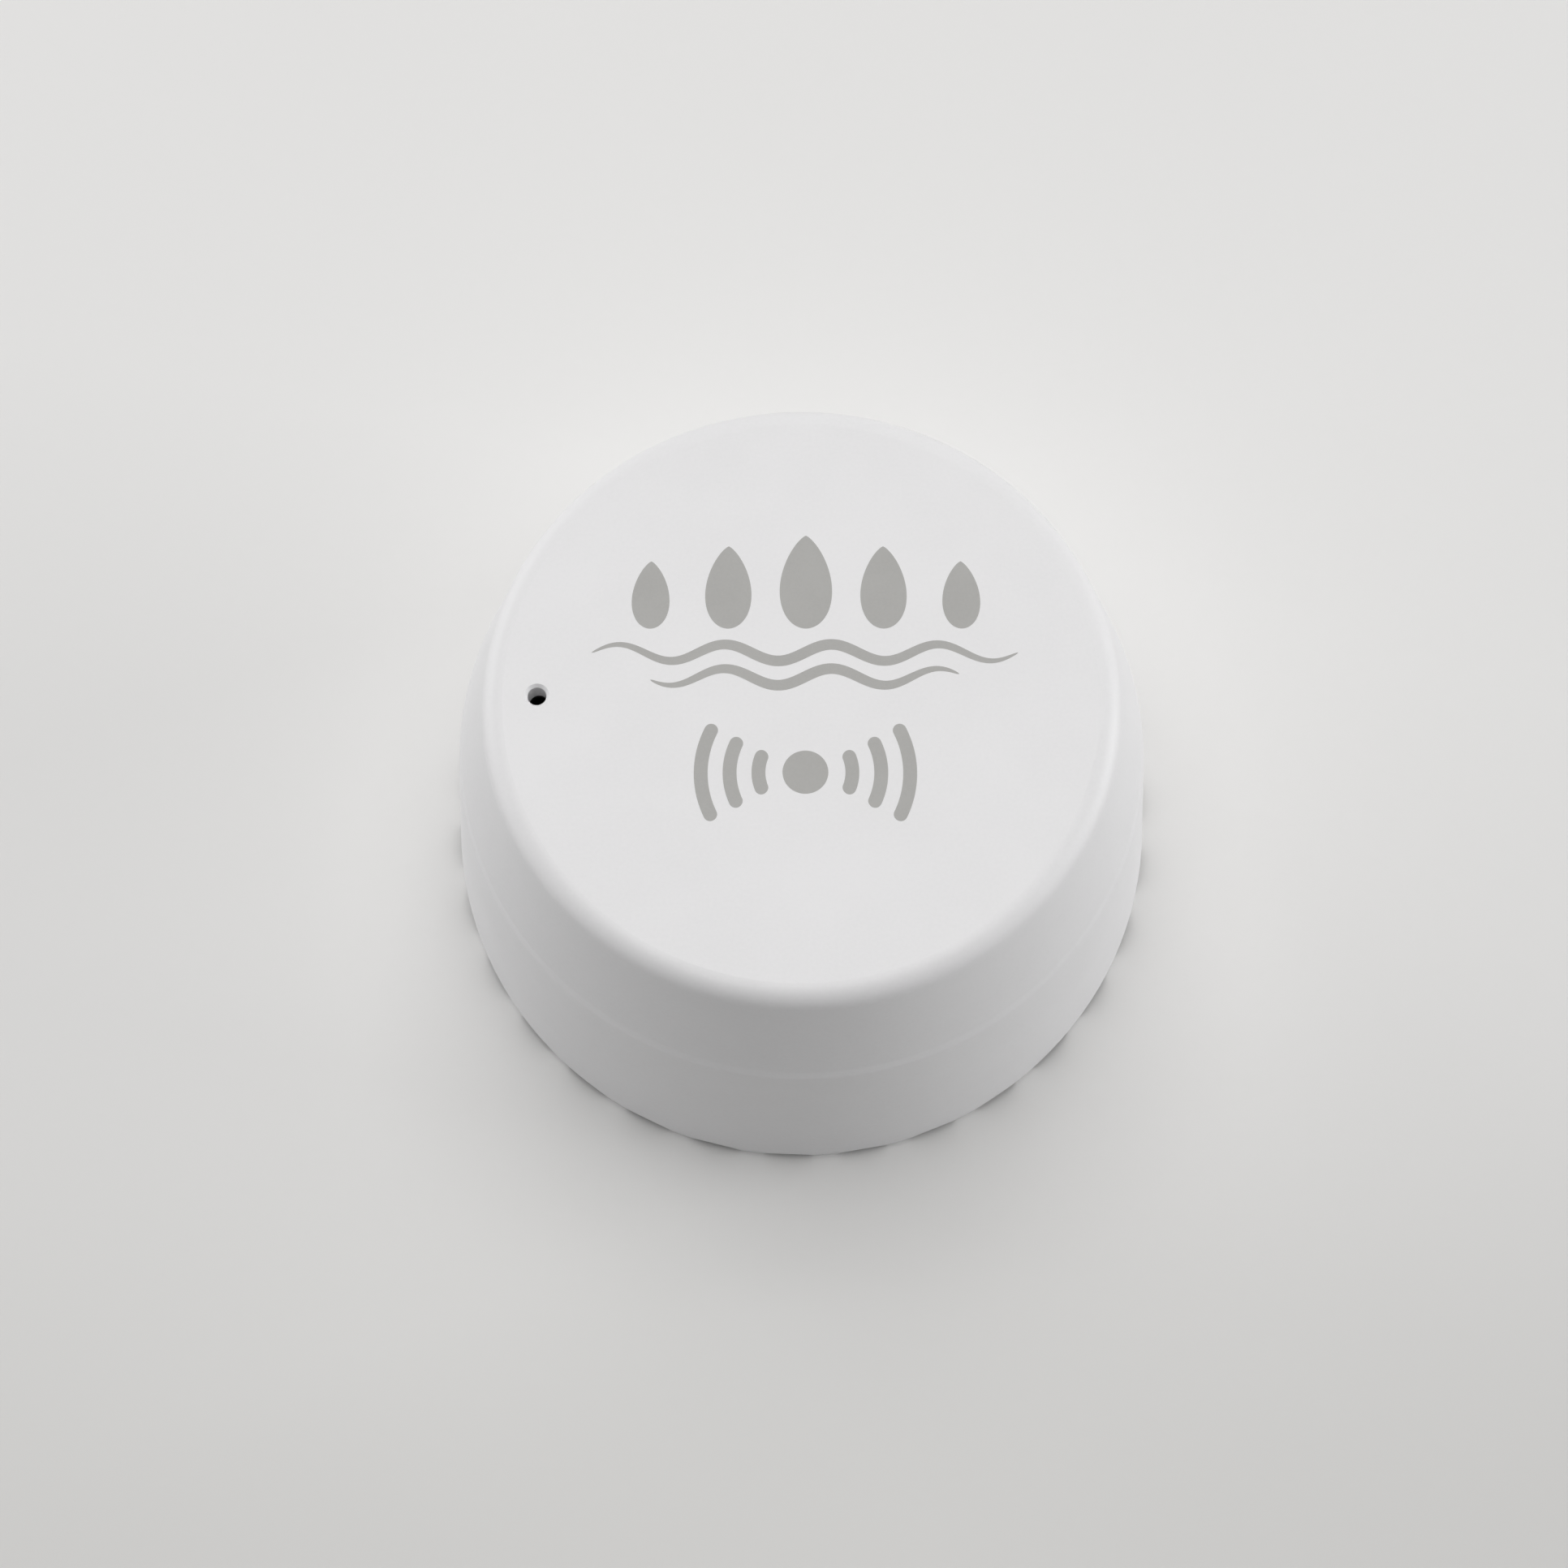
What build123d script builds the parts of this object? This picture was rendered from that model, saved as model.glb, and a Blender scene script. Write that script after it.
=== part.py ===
from build123d import *
import os
from math import cos, radians, sin, sqrt, tan

os.makedirs("parts", exist_ok=True)

# Water leak sensor, in millimetres. The origin is on the floor under the middle of the puck,
# +Z is up, and the side that is nearest to the eye is -Y.

# Every cut runs past the face that it opens by this much
overrun = 1.0

# Battery cells, two side by side along Y
cell_length = 44.5
cell_radius = 5.25
cell_gap = 0.4               # between the two cells
cell_edge = 0.5              # rounded end of the can
nub_radius = 1.9
nub_length = 0.9
cell_lift = 0.2              # under each cell, to the deck
cell_offset = cell_radius + cell_gap / 2

# Rails that hold the cells between them
rail_gap = 0.25              # from a cell to its rail
rail_width = 1.2
rail_length = 34.0
rail_height = 5.5
rail_round = 0.4
rail_outside = cell_offset + cell_radius + rail_gap + rail_width

# Sounder, a drum beside the cells
sounder_radius = 6.0
sounder_height = 12.0
sounder_edge = 0.6
sounder_mouth_radius = 1.2
sounder_mouth_depth = 2.0
sounder_rail_gap = 0.85      # from the drum to the rail
sounder_inset = 0.6          # from the drum to the board's edge
sounder_y = 1.0

# Levels, from the floor up
underside_gap = 1.6          # room for water under the base
floor_thickness = 2.0
standoff_height = 3.0
board_thickness = 1.6
board_headroom = 4.5         # from the board to the deck
deck_thickness = 1.8
air_above_cells = 7.3
cover_top = 2.0

floor_top = underside_gap + floor_thickness
board_bottom = floor_top + standoff_height
board_top = board_bottom + board_thickness
deck_bottom = board_top + board_headroom
deck_top = deck_bottom + deck_thickness
cell_height = deck_top + cell_lift + cell_radius
ceiling = cell_height + cell_radius + air_above_cells
cover_height = ceiling + cover_top

# Radii, from the cells outward: the deck takes the cells' length and the drum beside them
contact_room = 1.65          # from the end of a cell to its end wall
end_wall = 2.7
deck_gap = 0.3
board_margin = 1.0           # the board's edge inside the deck's
neck_wall = 1.3
land_step = 1.4              # from the neck out to the land that the seal closes on
seal_gap = 0.15
seal_section = 1.1
groove_wall = 1.17           # cover wall left behind the seal's groove

wall_face = cell_length / 2 + contact_room
drum_reach = rail_outside + sounder_rail_gap + 2 * sounder_radius + sounder_inset + board_margin
deck_radius = max(wall_face + end_wall, drum_reach)
board_radius = deck_radius - board_margin
neck_bore_radius = deck_radius + deck_gap
neck_radius = neck_bore_radius + neck_wall
land_radius = neck_radius + land_step
seal_radius = land_radius + seal_gap + seal_section / 2
groove_radius = seal_radius + seal_section / 2 + seal_gap

# Cover, outside
ring_height = 2.0            # the widest ring is a little above the rim
rim_draw_in = 0.2
ledge_height = 22.1
ledge_step = 0.38
ledge_bevel = 1.0
ledge_round = 2.0
shoulder_fillet = 2.0
ceiling_fillet = 1.2
band_draft = 6.5             # degrees
cone_draft = 15.8            # degrees
cover_wall = 1.8
arch_count = 30
arch_width = 4.7
arch_rise = 1.35
arch_turn = -92.0            # degrees, where one arch lies

# Seal, low on the base
land_height = 2.8            # above the base's floor
seal_height = floor_top + land_height / 2

band_slope = tan(radians(band_draft))
cone_slope = tan(radians(cone_draft))
ring_radius = groove_radius + groove_wall + (seal_height - ring_height) * band_slope
rim_radius = ring_radius - rim_draw_in
ledge_radius = ring_radius - (ledge_height - ring_height) * band_slope
cone_foot_radius = ledge_radius - ledge_step
cone_foot_height = ledge_height + ledge_bevel
shoulder_radius = cone_foot_radius - (cover_height - cone_foot_height) * cone_slope
mouth_radius = ring_radius + ring_height * band_slope - cover_wall
hip_radius = ledge_radius - cover_wall
ceiling_radius = hip_radius - (ceiling - ledge_height) * cone_slope

# Screw closure: three lugs in the cover run under three sloping ribs on the neck
start_count = 3
screw_lead = 18.0            # rise of the cover in one whole turn
lug_gap = 0.3                # from a lug to the neck
rib_reach = 1.0
lug_thickness = 1.6
rib_thickness = 1.6
thread_play = 0.15           # between a lug and the rib above it
lug_clearance = 0.4          # under a lug, over the land
root_sink = 0.5              # how deep a lug or rib is rooted in its wall
lug_span = 24.0              # degrees
rib_span = 50.0              # degrees
rib_lead_in = 8.0            # degrees of rib before the lug
stop_span = 4.0              # degrees
stop_gap = 2.0               # degrees between a lug and its stop
closure_turn = 20.0          # degrees, where the first lug starts
degrees_per_section = 4.0

land_top = floor_top + land_height
lug_low = land_top + lug_clearance
rib_low = lug_low + lug_thickness + thread_play
lug_inner = neck_radius + lug_gap

# Sound hole through the cover's top, on a short tube
sound_hole_radius = 0.8
sound_hole_inset = 4.4       # from the top's edge, where the shoulder would be sharp
sound_hole_x = sound_hole_inset - shoulder_radius
sound_hole_y = -0.15
tube_wall = 1.4
tube_drop = 0.6              # under the ceiling
sound_hole_bevel = 0.25

# Base
flange_gap = 0.45            # from the base's foot flange to the cover
flange_height = 1.6
mouth_bevel = 0.3            # on the neck's upper edge
flange_radius = mouth_radius - floor_top * band_slope - flange_gap

# Feet
foot_count = 3
foot_radius = 3.6
foot_recess = 0.6
foot_inset = 2.6             # from the deck's edge to the middle of a foot
foot_circle = deck_radius - foot_inset
foot_round = 0.3
foot_turn = 90.0             # degrees

# Screws that cut their own thread
screw_radius = 1.0
screw_hole_gap = 0.03
screw_head_radius = 1.9
screw_head_height = 1.2
screw_slot_width = 0.5
screw_slot_depth = 0.6
screw_slot_length = 2.4
screw_length = 5.0
screw_tip_room = 1.0         # left under the screw's end
screw_passage_gap = 0.2      # round the shank, through what it holds

# Board supports and deck posts
standoff_radius = 2.4
standoff_inset = 8.6         # from the board's edge to the middle of a standoff
standoff_circle = board_radius - standoff_inset
standoff_turn = 30.0         # degrees
standoff_count = 3
post_radius = 2.3
post_inset = 3.6             # from the deck's edge to the middle of a post
post_circle = deck_radius - post_inset
post_turns = (35.0, 145.0, 215.0, 325.0)   # degrees
notch_gap = 0.6              # round a post, through the board

# Water probes: two screws whose heads are under the base
probe_x = 13.0
probe_y = -8.0
probe_radius = 1.2
probe_gap = 0.1
probe_head_radius = 3.4
probe_head_height = 1.1
probe_head_dome = 0.35
probe_slot_width = 0.8
probe_slot_depth = 0.5
probe_seal_section = 0.9
probe_seal_recess = 0.8
probe_seal_margin = 0.15
probe_sleeve_wall = 1.4
probe_nut_width = 4.6        # across the flats
probe_nut_height = 1.6
probe_end = 0.5              # of the shank, past its nut
thread_fit = 0.03            # between a nut's bore and its screw

# Battery contacts, cut from sheet
sheet = 0.4
contact_width = 8.0
contact_height = 8.6
tail_width = 2.4
tail_gap = 0.2
boss_radius = 1.7
touch_gap = 0.05
leaf_length = 6.4
leaf_width = 4.6
leaf_sheet = 0.3

# Radio module
radio_width = 17.0
radio_length = 19.5
radio_tail_gap = 2.55        # from the contacts' tails
radio_y = wall_face - sheet - radio_tail_gap - radio_length / 2
radio_thickness = 0.8
radio_pads = 8
radio_pad_radius = 0.4
radio_pad_pitch = 1.5
shield_width = 14.6
shield_length = 12.4
shield_height = 2.4
shield_round = 0.4
shield_margin = 0.75         # from the module's inner end
shield_y = radio_y - radio_length / 2 + shield_margin + shield_length / 2

# Small parts on the board
chip_width = 6.0
chip_height = 0.9
chip_radio_gap = 3.75        # from the chip's legs to the radio module
chip_leg_pitch = 0.8
chip_leg_width = 0.35
chip_leg_reach = 0.7
chip_leg_thickness = 0.2
chip_legs = 7
chip_bevel = 0.15
chip_y = radio_y - radio_length / 2 - chip_radio_gap - chip_leg_reach - chip_width / 2
power_inset = 11.0           # from the board's edge to the regulator and the capacitor
regulator_x = -7.4
regulator_y = power_inset - board_radius
regulator_width = 3.4
regulator_length = 3.0
regulator_height = 1.2
capacitor_x = 7.6
capacitor_y = power_inset - board_radius
capacitor_length = 7.3
capacitor_width = 4.3
capacitor_height = 2.9
capacitor_bevel = 0.4

sounder_x = sounder_inset + sounder_radius - board_radius
tall_part_gap = 0.3          # round a tall part, through the deck

# Status light on a spacer, beside the sounder
spacer_radius = 2.0
spacer_height = 9.6
spacer_bore = 1.2
spacer_inset = 0.5           # from the spacer to the board's edge
spacer_sounder_gap = 1.2     # along Y
light_y = sounder_y - sounder_radius - spacer_sounder_gap - spacer_radius
light_circle = board_radius - spacer_inset - spacer_radius
light_x = -sqrt(light_circle ** 2 - light_y ** 2)
light_flange_radius = 1.9
light_flange_height = 0.9
light_radius = 1.5
light_height = 3.4
light_dome_share = 0.96      # of the lens's radius

# Pairing button over its switch
button_radius = 2.5
button_rail_gap = 2.95       # from the button to the rail
button_x = rail_outside + button_rail_gap + button_radius
button_y = 0.0
button_gap = 0.1             # in the deck's hole
button_stand = 1.2           # above the deck
button_flange_radius = 3.4
button_flange_height = 1.2
button_rest_gap = 0.05       # under the deck
button_dish = 0.3
button_round = 0.3
button_travel = 0.5
switch_width = 6.2
switch_height = 2.3
switch_corner = 0.4
plunger_radius = 1.7
plunger_gap = 0.06
plunger_depth = 1.3          # inside the switch at rest
plunger_room = 0.15          # left under it at the end of its travel

# Battery deck
keel_width = 1.6
keel_height = 0.9
end_wall_width = 23.0
end_wall_height = 7.6
deck_screw_recess = 0.4


def radial_plane(angle, height=0):
    """The upright plane through the axis at an angle: x runs outward, y runs up."""
    turn = radians(angle)
    return Plane(origin=(0, 0, height), x_dir=(cos(turn), sin(turn), 0), z_dir=(sin(turn), -cos(turn), 0))


def sloping_rib(inner, outer, low, thickness, start, span):
    """A length of rib that climbs with the screw's lead, as a ruled loft of upright sections."""
    sections = round(span / degrees_per_section)
    with BuildPart() as rib:
        for i in range(sections + 1):
            turned = span * i / sections
            with BuildSketch(radial_plane(start + turned, low + screw_lead * turned / 360)):
                with BuildLine():
                    Polyline((inner, 0), (outer, 0), (outer, thickness), (inner, thickness), close=True)
                make_face()
        loft(ruled=True)
    return rib.part


def pan_screws(places, seat):
    """A set of like screws whose heads sit at one level."""
    with BuildPart() as screws:
        with BuildSketch(Plane.XY.offset(seat - screw_length)):
            with Locations(*places):
                Circle(screw_radius)
        extrude(amount=screw_length)
        with BuildSketch(Plane.XY.offset(seat)):
            with Locations(*places):
                Circle(screw_head_radius)
        extrude(amount=screw_head_height)
        rims = screws.faces().filter_by(Plane.XY).group_by(Axis.Z)[-1].edges()
        fillet(rims, screw_head_height / 2)
        with BuildSketch(Plane.XY.offset(seat + screw_head_height)):
            with Locations(*places):
                Rectangle(screw_slot_length, screw_slot_width)
                Rectangle(screw_slot_width, screw_slot_length)
        extrude(amount=-screw_slot_depth, mode=Mode.SUBTRACT)
    return screws.part


def polar(circle, turn):
    """A place on a circle about the axis, as x and y."""
    return (circle * cos(radians(turn)), circle * sin(radians(turn)))

# Cover: one shell from the flat top to the scalloped rim
cover_wall_at_lug = mouth_radius - (lug_low + lug_thickness) * band_slope
lug = sloping_rib(lug_inner, cover_wall_at_lug + root_sink, lug_low, lug_thickness, closure_turn, lug_span)
arch_radius = (arch_width * arch_width / 4 + arch_rise * arch_rise) / (2 * arch_rise)

with BuildPart() as top_cover:
    with BuildSketch(Plane.XZ) as shell:
        with BuildLine():
            Polyline(
                (mouth_radius, 0),
                (rim_radius, 0),
                (ring_radius, ring_height),
                (ledge_radius, ledge_height),
                (cone_foot_radius, cone_foot_height),
                (shoulder_radius, cover_height),
                (0, cover_height),
                (0, ceiling),
                (ceiling_radius, ceiling),
                (hip_radius, ledge_height),
                close=True,
            )
        make_face()
        fillet(shell.vertices().sort_by_distance((shoulder_radius, cover_height))[0], shoulder_fillet)
        fillet(shell.vertices().sort_by_distance((ceiling_radius, ceiling))[0], ceiling_fillet)
        fillet(shell.vertices().sort_by_distance((ledge_radius, ledge_height))[0], ledge_round)
    revolve(axis=Axis.Z)
    with BuildSketch(Plane.XZ):
        with Locations((groove_radius - seal_section / 2, seal_height)):
            Rectangle(seal_section, seal_section + 2 * seal_gap)
    revolve(axis=Axis.Z, mode=Mode.SUBTRACT)
    with PolarLocations(0, start_count):
        add(lug)
    for i in range(arch_count // 2):
        with BuildSketch(radial_plane(arch_turn + 90 + 360 * i / arch_count)):
            with Locations((0, arch_rise - arch_radius)):
                Circle(arch_radius)
        extrude(amount=ring_radius + overrun, both=True, mode=Mode.SUBTRACT)
    with BuildSketch(Plane.XY.offset(ceiling - tube_drop)):
        with Locations((sound_hole_x, sound_hole_y)):
            Circle(sound_hole_radius + tube_wall)
    extrude(until=Until.NEXT)
    with BuildSketch(Plane.XY.offset(cover_height + overrun)):
        with Locations((sound_hole_x, sound_hole_y)):
            Circle(sound_hole_radius)
    extrude(amount=-(cover_top + tube_drop + 2 * overrun), mode=Mode.SUBTRACT)
    hole_rim = top_cover.edges().sort_by_distance((sound_hole_x, sound_hole_y, cover_height))[0]
    chamfer(hole_rim, sound_hole_bevel)
top_cover.part.label = "top_cover"
export_step(top_cover.part, "parts/top_cover.step")

# Seal ring, in the groove of the cover
with BuildPart() as seal_ring:
    with BuildSketch(Plane.XZ):
        with Locations((seal_radius, seal_height)):
            Circle(seal_section / 2)
    revolve(axis=Axis.Z)
seal_ring.part.label = "seal_ring"
export_step(seal_ring.part, "parts/seal_ring.step")

# Base: a shallow cup with the neck, its ribs, the posts and the probe sleeves
rib = sloping_rib(
    neck_radius - root_sink,
    neck_radius + rib_reach,
    rib_low - screw_lead * rib_lead_in / 360,
    rib_thickness,
    closure_turn - rib_lead_in,
    rib_span,
)
post_places = [polar(post_circle, turn) for turn in post_turns]
standoff_places = [
    polar(standoff_circle, standoff_turn + 360 * i / standoff_count) for i in range(standoff_count)
]
foot_places = [polar(foot_circle, foot_turn + 360 * i / foot_count) for i in range(foot_count)]
probe_places = [(-probe_x, probe_y), (probe_x, probe_y)]
screw_depth = screw_length - board_thickness + screw_tip_room
deck_screw_seat = deck_top - deck_screw_recess
deck_screw_depth = screw_length - (deck_screw_seat - deck_bottom) + screw_tip_room
probe_recess_radius = probe_radius + 2 * probe_seal_margin + probe_seal_section

with BuildPart() as base_cup:
    with BuildSketch(Plane.XZ) as cup:
        with BuildLine():
            Polyline(
                (0, underside_gap),
                (flange_radius, underside_gap),
                (flange_radius, underside_gap + flange_height),
                (land_radius, underside_gap + flange_height),
                (land_radius, land_top),
                (neck_radius, land_top),
                (neck_radius, deck_top),
                (neck_bore_radius, deck_top),
                (neck_bore_radius, floor_top),
                (0, floor_top),
                close=True,
            )
        make_face()
        chamfer(cup.vertices().sort_by_distance((neck_radius, deck_top))[0], mouth_bevel)
    revolve(axis=Axis.Z)
    with PolarLocations(0, start_count):
        add(rib)
    for i in range(start_count):
        stop_turn = closure_turn - stop_gap - stop_span / 2 + 360 * i / start_count
        with BuildSketch(radial_plane(stop_turn)):
            with Locations((neck_radius - root_sink, land_top)):
                Rectangle(rib_reach + root_sink, rib_low - land_top, align=(Align.MIN, Align.MIN))
        extrude(amount=neck_radius * tan(radians(stop_span / 2)), both=True)
    with BuildSketch(Plane.XY.offset(floor_top)):
        with Locations(*standoff_places):
            Circle(standoff_radius)
        with Locations(*probe_places):
            Circle(probe_radius + probe_gap + probe_sleeve_wall)
    extrude(amount=standoff_height)
    with BuildSketch(Plane.XY.offset(floor_top)):
        with Locations(*post_places):
            Circle(post_radius)
    extrude(amount=deck_bottom - floor_top)
    with BuildSketch(Plane.XY.offset(board_bottom)):
        with Locations(*standoff_places):
            Circle(screw_radius + screw_hole_gap)
    extrude(amount=-screw_depth, mode=Mode.SUBTRACT)
    with BuildSketch(Plane.XY.offset(deck_bottom)):
        with Locations(*post_places):
            Circle(screw_radius + screw_hole_gap)
    extrude(amount=-deck_screw_depth, mode=Mode.SUBTRACT)
    with BuildSketch(Plane.XY.offset(underside_gap)):
        with Locations(*foot_places):
            Circle(foot_radius)
    extrude(amount=foot_recess, mode=Mode.SUBTRACT)
    with BuildSketch(Plane.XY.offset(underside_gap)):
        with Locations(*probe_places):
            Circle(probe_recess_radius)
    extrude(amount=probe_seal_recess, mode=Mode.SUBTRACT)
    with BuildSketch(Plane.XY.offset(underside_gap)):
        with Locations(*probe_places):
            Circle(probe_radius + probe_gap)
    extrude(amount=floor_thickness + standoff_height + overrun, mode=Mode.SUBTRACT)
base_cup.part.label = "base_cup"
export_step(base_cup.part, "parts/base_cup.step")

with BuildPart() as foot_pads:
    with BuildSketch():
        with Locations(*foot_places):
            Circle(foot_radius)
    extrude(amount=underside_gap + foot_recess)
    fillet(foot_pads.faces().filter_by(Plane.XY).group_by(Axis.Z)[0].edges(), foot_round)
foot_pads.part.label = "foot_pads"
export_step(foot_pads.part, "parts/foot_pads.step")

# Probes, their seals and nuts
for side, place in zip(("left", "right"), probe_places):
    with BuildPart() as probe_screw:
        with BuildSketch(Plane.XY.offset(underside_gap)):
            with Locations(place):
                Circle(probe_head_radius)
        extrude(amount=-probe_head_height)
        fillet(probe_screw.faces().sort_by(Axis.Z)[0].edges(), probe_head_dome)
        with BuildSketch(Plane.XY.offset(underside_gap - probe_head_height)):
            with Locations(place):
                Rectangle(2 * probe_head_radius + overrun, probe_slot_width)
        extrude(amount=probe_slot_depth, mode=Mode.SUBTRACT)
        with BuildSketch(Plane.XY.offset(underside_gap)):
            with Locations(place):
                Circle(probe_radius)
        extrude(amount=board_top - underside_gap + probe_nut_height + probe_end)
    probe_screw.part.label = "probe_screw_" + side
    export_step(probe_screw.part, "parts/probe_screw_" + side + ".step")

with BuildPart() as probe_seals:
    with BuildSketch(Plane.XY.offset(underside_gap)):
        with Locations(*probe_places):
            Circle(probe_radius + probe_seal_margin + probe_seal_section)
            Circle(probe_radius + probe_seal_margin, mode=Mode.SUBTRACT)
    extrude(amount=probe_seal_recess)
probe_seals.part.label = "probe_seals"
export_step(probe_seals.part, "parts/probe_seals.step")

with BuildPart() as probe_nuts:
    with BuildSketch(Plane.XY.offset(board_top)):
        with Locations(*probe_places):
            RegularPolygon(probe_nut_width / 2, 6, major_radius=False)
            Circle(probe_radius + thread_fit, mode=Mode.SUBTRACT)
    extrude(amount=probe_nut_height)
probe_nuts.part.label = "probe_nuts"
export_step(probe_nuts.part, "parts/probe_nuts.step")

# Main board, notched round the deck posts
with BuildPart() as main_board:
    with BuildSketch(Plane.XY.offset(board_bottom)):
        Circle(board_radius)
        with Locations(*post_places):
            Circle(post_radius + notch_gap, mode=Mode.SUBTRACT)
        with Locations(*standoff_places):
            Circle(screw_radius + screw_passage_gap, mode=Mode.SUBTRACT)
        with Locations(*probe_places):
            Circle(probe_radius + probe_gap, mode=Mode.SUBTRACT)
    extrude(amount=board_thickness)
main_board.part.label = "main_board"
export_step(main_board.part, "parts/main_board.step")

board_screws = pan_screws(standoff_places, board_top)
board_screws.label = "board_screws"
export_step(board_screws, "parts/board_screws.step")

# Radio module with half holes along its sides, and its shield
with BuildPart() as radio_module:
    with BuildSketch(Plane.XY.offset(board_top)):
        with Locations((0, radio_y)):
            Rectangle(radio_width, radio_length)
        with Locations((-radio_width / 2, shield_y), (radio_width / 2, shield_y)):
            with GridLocations(radio_pad_pitch, radio_pad_pitch, 1, radio_pads):
                Circle(radio_pad_radius, mode=Mode.SUBTRACT)
    extrude(amount=radio_thickness)
radio_module.part.label = "radio_module"
export_step(radio_module.part, "parts/radio_module.step")

with BuildPart() as radio_shield:
    with BuildSketch(Plane.XY.offset(board_top + radio_thickness)):
        with Locations((0, shield_y)):
            RectangleRounded(shield_width, shield_length, shield_round)
    extrude(amount=shield_height)
    fillet(radio_shield.faces().sort_by(Axis.Z)[-1].edges(), shield_round / 2)
radio_shield.part.label = "radio_shield"
export_step(radio_shield.part, "parts/radio_shield.step")

with BuildPart() as controller_chip:
    with BuildSketch(Plane.XY.offset(board_top + chip_leg_thickness)):
        with Locations((0, chip_y)):
            Rectangle(chip_width, chip_width)
    extrude(amount=chip_height)
    chamfer(controller_chip.faces().sort_by(Axis.Z)[-1].edges(), chip_bevel)
    with BuildSketch(Plane.XY.offset(board_top)):
        with Locations((0, chip_y)):
            with GridLocations(chip_leg_pitch, chip_leg_pitch, 1, chip_legs):
                Rectangle(chip_width + 2 * chip_leg_reach, chip_leg_width)
            with GridLocations(chip_leg_pitch, chip_leg_pitch, chip_legs, 1):
                Rectangle(chip_leg_width, chip_width + 2 * chip_leg_reach)
    extrude(amount=chip_leg_thickness)
controller_chip.part.label = "controller_chip"
export_step(controller_chip.part, "parts/controller_chip.step")

with BuildPart() as regulator:
    with BuildSketch(Plane.XY.offset(board_top)):
        with Locations((regulator_x, regulator_y)):
            Rectangle(regulator_width, regulator_length)
    extrude(amount=regulator_height)
    chamfer(regulator.faces().sort_by(Axis.Z)[-1].edges(), chip_bevel)
regulator.part.label = "regulator"
export_step(regulator.part, "parts/regulator.step")

with BuildPart() as capacitor:
    with BuildSketch(Plane.XY.offset(board_top)):
        with Locations((capacitor_x, capacitor_y)):
            Rectangle(capacitor_length, capacitor_width)
    extrude(amount=capacitor_height)
    chamfer(capacitor.faces().sort_by(Axis.Z)[-1].edges(), capacitor_bevel)
capacitor.part.label = "capacitor"
export_step(capacitor.part, "parts/capacitor.step")

# Sounder, a tall drum that stands through the deck under the sound hole
with BuildPart() as sounder:
    with BuildSketch(Plane.XY.offset(board_top)):
        with Locations((sounder_x, sounder_y)):
            Circle(sounder_radius)
    extrude(amount=sounder_height)
    fillet(sounder.faces().sort_by(Axis.Z)[-1].edges(), sounder_edge)
    with BuildSketch(Plane.XY.offset(board_top + sounder_height)):
        with Locations((sounder_x, sounder_y)):
            Circle(sounder_mouth_radius)
    extrude(amount=-sounder_mouth_depth, mode=Mode.SUBTRACT)
sounder.part.label = "sounder"
export_step(sounder.part, "parts/sounder.step")

# Status light, a domed lens on a spacer tube
with BuildPart() as light_spacer:
    with BuildSketch(Plane.XY.offset(board_top)):
        with Locations((light_x, light_y)):
            Circle(spacer_radius)
            Circle(spacer_bore, mode=Mode.SUBTRACT)
    extrude(amount=spacer_height)
light_spacer.part.label = "light_spacer"
export_step(light_spacer.part, "parts/light_spacer.step")

light_foot = board_top + spacer_height
with BuildPart() as status_light:
    with BuildSketch(Plane.XY.offset(light_foot)):
        with Locations((light_x, light_y)):
            Circle(light_flange_radius)
    extrude(amount=light_flange_height)
    with BuildSketch(Plane.XY.offset(light_foot + light_flange_height)):
        with Locations((light_x, light_y)):
            Circle(light_radius)
    extrude(amount=light_height)
    fillet(status_light.faces().sort_by(Axis.Z)[-1].edges(), light_radius * light_dome_share)
status_light.part.label = "status_light"
export_step(status_light.part, "parts/status_light.step")

# Pairing switch, its plunger and the button above it
button_flange_top = deck_bottom - button_rest_gap
plunger_top = button_flange_top - button_flange_height
switch_top = board_top + switch_height
plunger_low = switch_top - plunger_depth

with BuildPart() as switch_body:
    with BuildSketch(Plane.XY.offset(board_top)):
        with Locations((button_x, button_y)):
            RectangleRounded(switch_width, switch_width, switch_corner)
    extrude(amount=switch_height)
    with BuildSketch(Plane.XY.offset(switch_top)):
        with Locations((button_x, button_y)):
            Circle(plunger_radius + plunger_gap)
    extrude(amount=-(plunger_depth + button_travel + plunger_room), mode=Mode.SUBTRACT)
switch_body.part.label = "switch_body"
export_step(switch_body.part, "parts/switch_body.step")

with BuildPart() as switch_plunger:
    with BuildSketch(Plane.XY.offset(plunger_low)):
        with Locations((button_x, button_y)):
            Circle(plunger_radius)
    extrude(amount=plunger_top - plunger_low)
switch_plunger.part.label = "switch_plunger"
export_step(switch_plunger.part, "parts/switch_plunger.step")

with BuildPart() as pairing_button:
    with BuildSketch(Plane.XY.offset(plunger_top)):
        with Locations((button_x, button_y)):
            Circle(button_flange_radius)
    extrude(amount=button_flange_height)
    with BuildSketch(Plane.XY.offset(button_flange_top)):
        with Locations((button_x, button_y)):
            Circle(button_radius)
    extrude(amount=deck_top + button_stand - button_flange_top)
    fillet(pairing_button.faces().sort_by(Axis.Z)[-1].edges(), button_round)
    with BuildSketch(Plane.XY.offset(deck_top + button_stand)):
        with Locations((button_x, button_y)):
            Circle(button_radius / 2)
    extrude(amount=-button_dish, taper=45, mode=Mode.SUBTRACT)
pairing_button.part.label = "pairing_button"
export_step(pairing_button.part, "parts/pairing_button.step")

# Battery deck over the board, with rails and end walls for the cells
rail_x = rail_outside - rail_width / 2
tail_places = [(-cell_offset, wall_face - sheet / 2), (cell_offset, wall_face - sheet / 2),
               (-cell_offset, sheet / 2 - wall_face), (cell_offset, sheet / 2 - wall_face)]

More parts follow.
